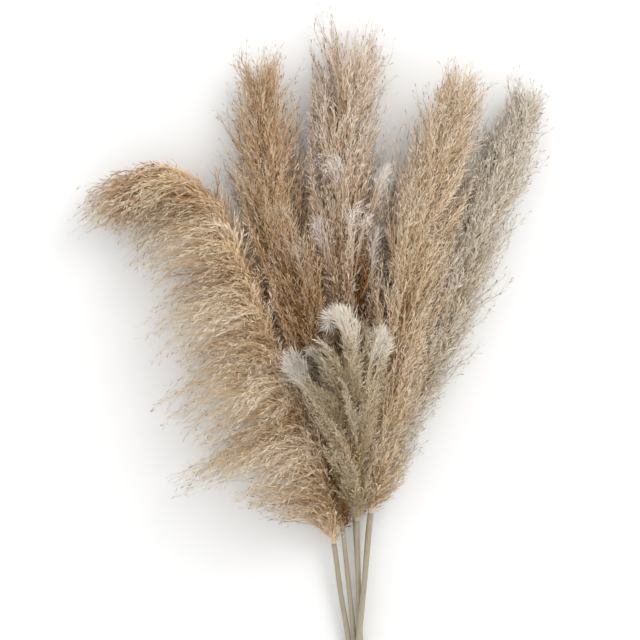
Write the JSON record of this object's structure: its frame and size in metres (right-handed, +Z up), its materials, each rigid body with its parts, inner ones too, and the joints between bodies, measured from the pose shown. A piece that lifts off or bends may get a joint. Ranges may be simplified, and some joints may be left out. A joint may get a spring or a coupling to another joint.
{
  "type": "bundle of pampas grass",
  "caption": "Loose bundle of dried pampas grass lying flat: bare reed stems gathered at one end, with long feathery beige plumes fanned out, one drooping to the side.",
  "frame": {"origin": "on the surface that the bundle lies on, under the middle of its bounding box", "axes": "+Y from the cut ends of the stems to the plume tips, +X to the right seen from above, +Z up"},
  "size_m": [0.5116, 0.9248, 0.1695],
  "materials": {
    "culm": "satin",
    "plume_left": "matte",
    "plume_upper_left": "matte",
    "plume_upper_centre": "matte",
    "plume_right_centre": "matte",
    "plume_right": "matte",
    "plume_centre_front": "matte"
  },
  "bodies": {
    "root": {"culm_left": "culm", "plume_left": "plume_left", "culm_upper_left": "culm", "plume_upper_left": "plume_upper_left", "culm_upper_centre": "culm", "plume_upper_centre": "plume_upper_centre", "culm_right_centre": "culm", "plume_right_centre": "plume_right_centre", "culm_right": "culm", "plume_right": "plume_right", "culm_centre_front": "culm", "plume_centre_front": "plume_centre_front"}
  },
  "joints": []
}
